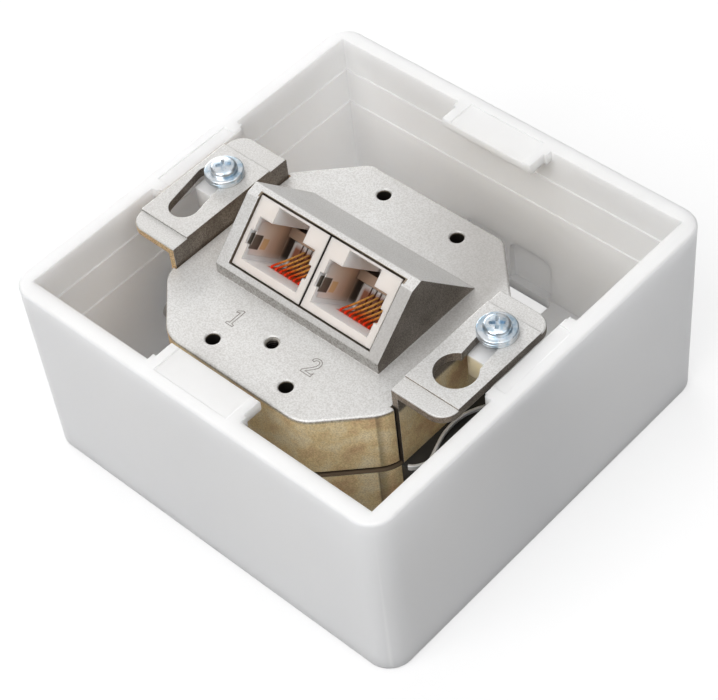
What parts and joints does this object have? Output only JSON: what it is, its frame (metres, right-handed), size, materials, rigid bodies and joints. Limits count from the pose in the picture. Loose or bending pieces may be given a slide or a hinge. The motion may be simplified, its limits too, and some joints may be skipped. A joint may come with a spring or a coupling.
{
  "type": "surface-mounted data outlet",
  "caption": "White square surface box holding a die-cast data outlet: an octagonal metal cap with a sloping hood of modular sockets, held by cross-head screws in open ears.",
  "frame": {"origin": "centre of the underside of the box, on the wall's surface", "axes": "+Z out of the wall and out of the open box, +X from ear to ear, -Y the side that the sockets look to"},
  "size_m": [0.081, 0.081, 0.0469],
  "materials": {
    "white_plastic": "smooth moulded white",
    "zinc": "matt cast zinc",
    "socket_plastic": "moulded, warm white",
    "terminal_plastic": "moulded, light grey",
    "black_plastic": "moulded, black",
    "board_green": "coated board",
    "spring_steel": "bright strip",
    "contact_gold": "gold plated wire",
    "blade_tin": "tinned",
    "screw_steel": "bright zinc plated, slightly blue"
  },
  "bodies": {
    "root": {"surface_box": "white_plastic", "upper_housing": "zinc", "lower_housing": "zinc", "left_jack_housing": "socket_plastic", "right_jack_housing": "socket_plastic", "left_jack_liner": "spring_steel", "right_jack_liner": "spring_steel", "left_contact_wires": "contact_gold", "right_contact_wires": "contact_gold", "left_contact_carrier": "socket_plastic", "right_contact_carrier": "socket_plastic", "left_terminal_block": "terminal_plastic", "right_terminal_block": "terminal_plastic", "left_terminal_blades": "blade_tin", "right_terminal_blades": "blade_tin", "circuit_board": "board_green", "board_screws": "screw_steel", "housing_screws": "screw_steel", "left_cable_clamp": "black_plastic", "right_cable_clamp": "black_plastic", "left_screen_strip": "spring_steel", "right_screen_strip": "spring_steel", "clamp_screws": "screw_steel", "device_screws": "screw_steel", "lower_washers": "screw_steel", "upper_washers": "screw_steel"}
  },
  "joints": []
}
